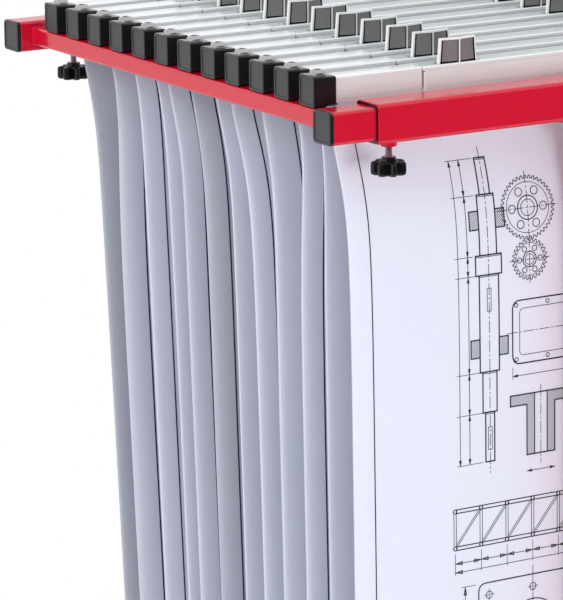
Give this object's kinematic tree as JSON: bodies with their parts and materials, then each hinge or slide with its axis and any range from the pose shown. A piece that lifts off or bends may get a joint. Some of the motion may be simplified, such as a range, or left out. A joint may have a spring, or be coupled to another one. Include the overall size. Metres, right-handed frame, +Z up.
{
  "type": "plan hanging rack",
  "caption": "Castor-mounted tube rack whose ends telescope and lock with knobs, carrying a row of aluminium plan clamps with sets of drawings hanging from them.",
  "frame": {"origin": "on the floor, under the middle of the rack", "axes": "+X along the clamps, +Y from the front rail to the rear rail, +Z up"},
  "size_m": [0.56, 0.594, 1.2185],
  "materials": {
    "red_paint": "gloss powder coat",
    "black_plastic": "satin moulded",
    "aluminium": "satin anodised",
    "wing_metal": "satin",
    "zinc_steel": "zinc plated",
    "grey_tyre": "matt",
    "paper": "matt printed paper"
  },
  "bodies": {
    "stand": {"front_outer_tube": "red_paint", "front_upright": "red_paint", "front_base_rail": "red_paint", "rear_outer_tube": "red_paint", "rear_upright": "red_paint", "rear_base_rail": "red_paint", "base_cross_tube": "red_paint"},
    "left_end": {"left_front_inner_tube": "red_paint", "left_front_tube_plug": "black_plastic", "left_rear_inner_tube": "red_paint", "left_rear_tube_plug": "black_plastic", "left_end_bar": "red_paint"},
    "right_end": {"right_front_inner_tube": "red_paint", "right_front_tube_plug": "black_plastic", "right_rear_inner_tube": "red_paint", "right_rear_tube_plug": "black_plastic", "right_end_bar": "red_paint"},
    "left_front_lock": {"left_front_lock_knob": "black_plastic"},
    "left_rear_lock": {"left_rear_lock_knob": "black_plastic"},
    "right_front_lock": {"right_front_lock_knob": "black_plastic"},
    "right_rear_lock": {"right_rear_lock_knob": "black_plastic"},
    "left_front_castor": {"left_front_castor_fork": "zinc_steel"},
    "left_front_wheel": {"left_front_castor_wheel": "grey_tyre"},
    "left_rear_castor": {"left_rear_castor_fork": "zinc_steel"},
    "left_rear_wheel": {"left_rear_castor_wheel": "grey_tyre"},
    "right_front_castor": {"right_front_castor_fork": "zinc_steel"},
    "right_front_wheel": {"right_front_castor_wheel": "grey_tyre"},
    "right_rear_castor": {"right_rear_castor_fork": "zinc_steel"},
    "right_rear_wheel": {"right_rear_castor_wheel": "grey_tyre"},
    "clamp_01_front_jaw": {"clamp_01_jaw": "aluminium", "clamp_01_left_wing": "wing_metal", "clamp_01_right_wing": "wing_metal"},
    "clamp_01": {"clamp_01_rail": "aluminium", "clamp_01_left_cap": "black_plastic", "clamp_01_right_cap": "black_plastic", "clamp_01_left_jaw_spring": "zinc_steel", "clamp_01_right_jaw_spring": "zinc_steel", "plan_set_01": "paper"},
    "clamp_02": {"clamp_02": "aluminium", "plan_set_02": "paper"},
    "clamp_03": {"clamp_03": "aluminium", "plan_set_03": "paper"},
    "clamp_04": {"clamp_04": "aluminium", "plan_set_04": "paper"},
    "clamp_05": {"clamp_05": "aluminium", "plan_set_05": "paper"},
    "clamp_06": {"clamp_06": "aluminium", "plan_set_06": "paper"},
    "clamp_07": {"clamp_07": "aluminium", "plan_set_07": "paper"},
    "clamp_08": {"clamp_08": "aluminium", "plan_set_08": "paper"},
    "clamp_09": {"clamp_09": "aluminium", "plan_set_09": "paper"},
    "clamp_10": {"clamp_10": "aluminium", "plan_set_10": "paper"},
    "clamp_11": {"clamp_11": "aluminium", "plan_set_11": "paper"},
    "clamp_12": {"clamp_12": "aluminium", "plan_set_12": "paper"}
  },
  "joints": [
    {"name": "left_end_slide", "type": "slide", "parent": "stand", "child": "left_end", "axis": [-1, 0, 0], "range_m": [-0.01, 0.152]},
    {"name": "right_end_slide", "type": "slide", "parent": "stand", "child": "right_end", "axis": [1, 0, 0], "range_m": [-0.01, 0.152]},
    {"name": "left_front_lock_turn", "type": "hinge", "parent": "stand", "child": "left_front_lock", "pos_m": [-0.208, -0.275, 1.135], "axis": [0, 0, -1], "range_deg": [0, 360]},
    {"name": "left_rear_lock_turn", "type": "hinge", "parent": "stand", "child": "left_rear_lock", "pos_m": [-0.208, 0.275, 1.135], "axis": [0, 0, -1], "range_deg": [0, 360]},
    {"name": "right_front_lock_turn", "type": "hinge", "parent": "stand", "child": "right_front_lock", "pos_m": [0.208, -0.275, 1.135], "axis": [0, 0, -1], "range_deg": [0, 360]},
    {"name": "right_rear_lock_turn", "type": "hinge", "parent": "stand", "child": "right_rear_lock", "pos_m": [0.208, 0.275, 1.135], "axis": [0, 0, -1], "range_deg": [0, 360]},
    {"name": "left_front_castor_swivel", "type": "hinge", "parent": "stand", "child": "left_front_castor", "pos_m": [-0.246, -0.275, 0.0997], "axis": [0, 0, 1], "continuous": true},
    {"name": "left_front_wheel_spin", "type": "hinge", "parent": "left_front_castor", "child": "left_front_wheel", "pos_m": [-0.222, -0.275, 0.0375], "axis": [0, 1, 0], "continuous": true},
    {"name": "left_rear_castor_swivel", "type": "hinge", "parent": "stand", "child": "left_rear_castor", "pos_m": [-0.246, 0.275, 0.0997], "axis": [0, 0, 1], "continuous": true},
    {"name": "left_rear_wheel_spin", "type": "hinge", "parent": "left_rear_castor", "child": "left_rear_wheel", "pos_m": [-0.222, 0.275, 0.0375], "axis": [0, 1, 0], "continuous": true},
    {"name": "right_front_castor_swivel", "type": "hinge", "parent": "stand", "child": "right_front_castor", "pos_m": [0.246, -0.275, 0.0997], "axis": [0, 0, 1], "continuous": true},
    {"name": "right_front_wheel_spin", "type": "hinge", "parent": "right_front_castor", "child": "right_front_wheel", "pos_m": [0.222, -0.275, 0.0375], "axis": [0, 1, 0], "continuous": true},
    {"name": "right_rear_castor_swivel", "type": "hinge", "parent": "stand", "child": "right_rear_castor", "pos_m": [0.246, 0.275, 0.0997], "axis": [0, 0, 1], "continuous": true},
    {"name": "right_rear_wheel_spin", "type": "hinge", "parent": "right_rear_castor", "child": "right_rear_wheel", "pos_m": [0.222, 0.275, 0.0375], "axis": [0, 1, 0], "continuous": true},
    {"name": "clamp_01_slide", "type": "slide", "parent": "stand", "child": "clamp_01", "axis": [0, 1, 0], "range_m": [-0.006, 0.006]},
    {"name": "clamp_01_jaw_open", "type": "hinge", "parent": "clamp_01", "child": "clamp_01_front_jaw", "pos_m": [0, -0.2325, 1.1919], "axis": [-1, 0, 0], "range_deg": [0, 12], "stiffness_Nm_per_rad": 0.8, "springref_deg": -17.19},
    {"name": "clamp_02_slide", "type": "slide", "parent": "stand", "child": "clamp_02", "axis": [0, 1, 0], "range_m": [-0.006, 0.006]},
    {"name": "clamp_03_slide", "type": "slide", "parent": "stand", "child": "clamp_03", "axis": [0, 1, 0], "range_m": [-0.006, 0.006]},
    {"name": "clamp_04_slide", "type": "slide", "parent": "stand", "child": "clamp_04", "axis": [0, 1, 0], "range_m": [-0.006, 0.006]},
    {"name": "clamp_05_slide", "type": "slide", "parent": "stand", "child": "clamp_05", "axis": [0, 1, 0], "range_m": [-0.006, 0.006]},
    {"name": "clamp_06_slide", "type": "slide", "parent": "stand", "child": "clamp_06", "axis": [0, 1, 0], "range_m": [-0.006, 0.006]},
    {"name": "clamp_07_slide", "type": "slide", "parent": "stand", "child": "clamp_07", "axis": [0, 1, 0], "range_m": [-0.006, 0.006]},
    {"name": "clamp_08_slide", "type": "slide", "parent": "stand", "child": "clamp_08", "axis": [0, 1, 0], "range_m": [-0.006, 0.006]},
    {"name": "clamp_09_slide", "type": "slide", "parent": "stand", "child": "clamp_09", "axis": [0, 1, 0], "range_m": [-0.006, 0.006]},
    {"name": "clamp_10_slide", "type": "slide", "parent": "stand", "child": "clamp_10", "axis": [0, 1, 0], "range_m": [-0.006, 0.006]},
    {"name": "clamp_11_slide", "type": "slide", "parent": "stand", "child": "clamp_11", "axis": [0, 1, 0], "range_m": [-0.006, 0.006]},
    {"name": "clamp_12_slide", "type": "slide", "parent": "stand", "child": "clamp_12", "axis": [0, 1, 0], "range_m": [-0.006, 0.006]}
  ]
}
